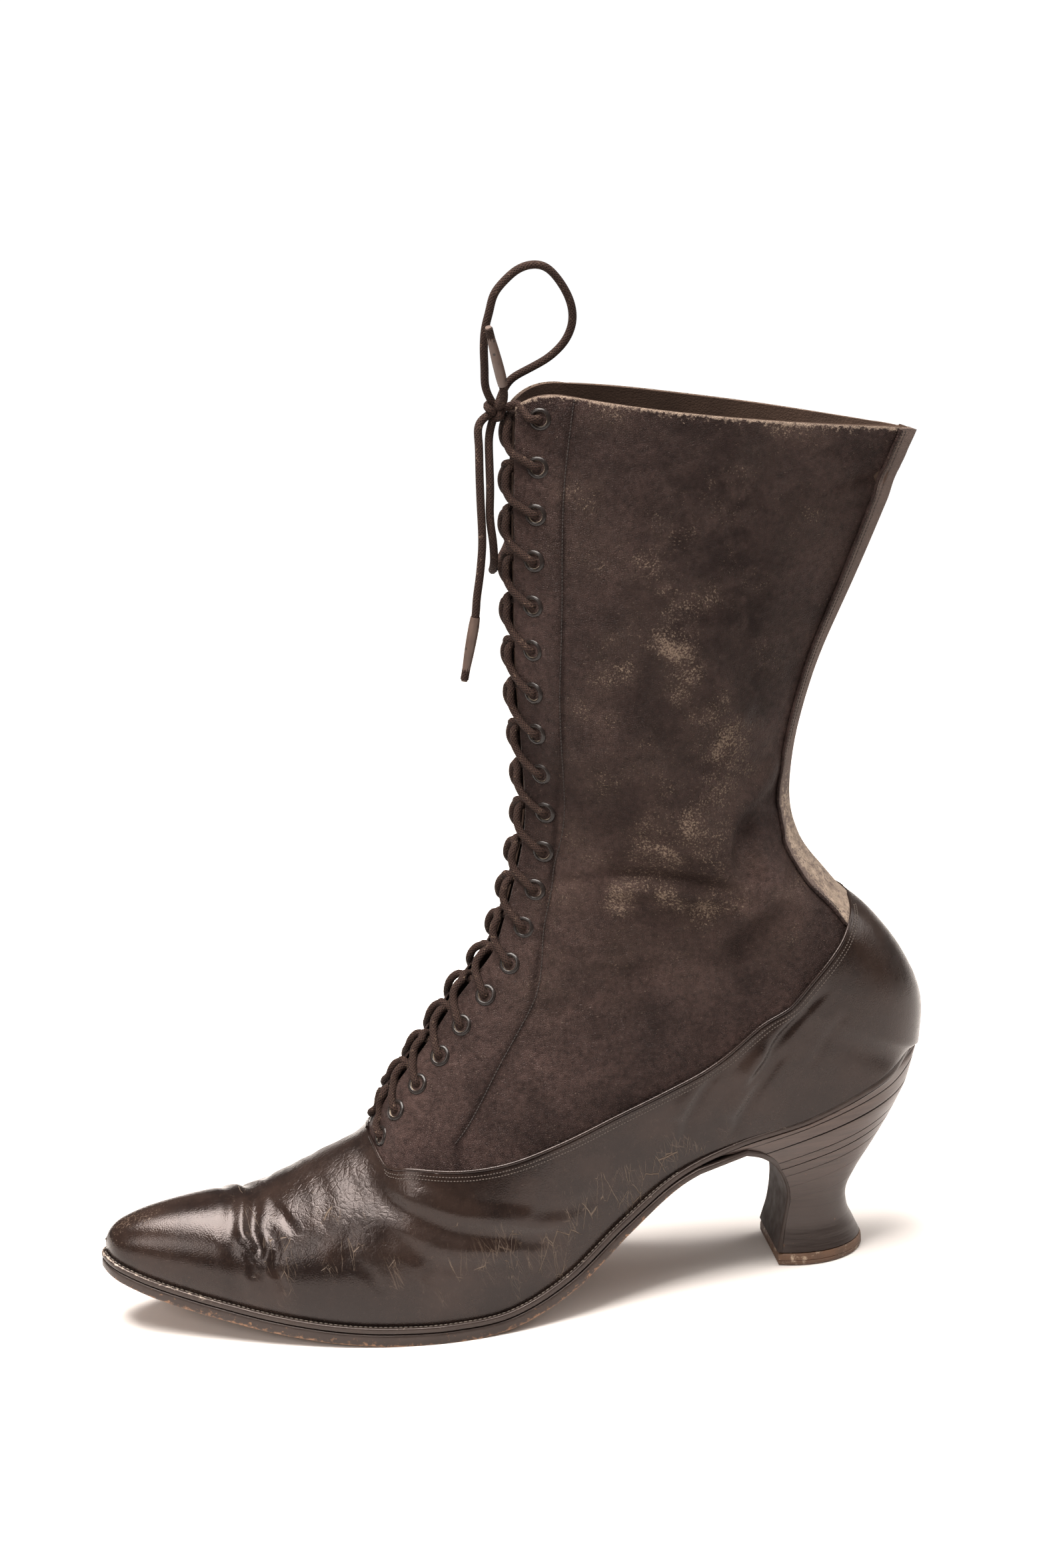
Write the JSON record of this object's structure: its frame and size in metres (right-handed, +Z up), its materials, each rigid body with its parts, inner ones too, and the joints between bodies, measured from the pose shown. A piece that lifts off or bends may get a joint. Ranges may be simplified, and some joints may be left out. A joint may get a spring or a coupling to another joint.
{
  "type": "laced boot",
  "caption": "Left mid-calf laced boot with a pointed toe, glossy golosh, eyelets to the collar and a curved waisted heel on a thin arched sole.",
  "frame": {"origin": "middle of the boot's box at floor level, measured without the free lace", "axes": "+Z up from the floor; the toe points along -X and the heel is at +X; the outer side of the foot is at -Y"},
  "size_m": [0.2564, 0.0713, 0.3199],
  "materials": {
    "shaft_kid": "matte, worn grain",
    "golosh_glace": "polished, fine cracks",
    "back_strip_worn": "worn, crackled",
    "lining": "soft matte",
    "sole_edge": "inked and burnished",
    "heel_stack": "satin, inked",
    "top_piece_leather": "worn",
    "eyelet_enamel": "black enamel",
    "lace_cotton": "matte round cord",
    "aglet_tin": "brown lacquer"
  },
  "bodies": {
    "root": {"upper": "shaft_kid", "golosh": "golosh_glace", "back_strip": "back_strip_worn", "tongue": "shaft_kid", "insole": "lining", "welt": "sole_edge", "outsole": "sole_edge", "heel": "heel_stack", "top_piece": "top_piece_leather", "lacing": "lace_cotton", "lace_knot": "lace_cotton", "lace_loop_up": "lace_cotton", "lace_loop_down": "lace_cotton", "lace_end_up": "lace_cotton", "lace_end_down": "lace_cotton", "aglet_up": "aglet_tin", "aglet_down": "aglet_tin", "eyelet_outer_01": "eyelet_enamel", "eyelet_outer_02": "eyelet_enamel", "eyelet_outer_03": "eyelet_enamel", "eyelet_outer_04": "eyelet_enamel", "eyelet_outer_05": "eyelet_enamel", "eyelet_outer_06": "eyelet_enamel", "eyelet_outer_07": "eyelet_enamel", "eyelet_outer_08": "eyelet_enamel", "eyelet_outer_09": "eyelet_enamel", "eyelet_outer_10": "eyelet_enamel", "eyelet_outer_11": "eyelet_enamel", "eyelet_outer_12": "eyelet_enamel", "eyelet_outer_13": "eyelet_enamel", "eyelet_outer_14": "eyelet_enamel", "eyelet_outer_15": "eyelet_enamel", "eyelet_outer_16": "eyelet_enamel", "eyelet_outer_17": "eyelet_enamel", "eyelet_outer_18": "eyelet_enamel", "eyelet_outer_19": "eyelet_enamel", "eyelet_outer_20": "eyelet_enamel", "eyelet_inner_01": "eyelet_enamel", "eyelet_inner_02": "eyelet_enamel", "eyelet_inner_03": "eyelet_enamel", "eyelet_inner_04": "eyelet_enamel", "eyelet_inner_05": "eyelet_enamel", "eyelet_inner_06": "eyelet_enamel", "eyelet_inner_07": "eyelet_enamel", "eyelet_inner_08": "eyelet_enamel", "eyelet_inner_09": "eyelet_enamel", "eyelet_inner_10": "eyelet_enamel", "eyelet_inner_11": "eyelet_enamel", "eyelet_inner_12": "eyelet_enamel", "eyelet_inner_13": "eyelet_enamel", "eyelet_inner_14": "eyelet_enamel", "eyelet_inner_15": "eyelet_enamel", "eyelet_inner_16": "eyelet_enamel", "eyelet_inner_17": "eyelet_enamel", "eyelet_inner_18": "eyelet_enamel", "eyelet_inner_19": "eyelet_enamel", "eyelet_inner_20": "eyelet_enamel"}
  },
  "joints": []
}
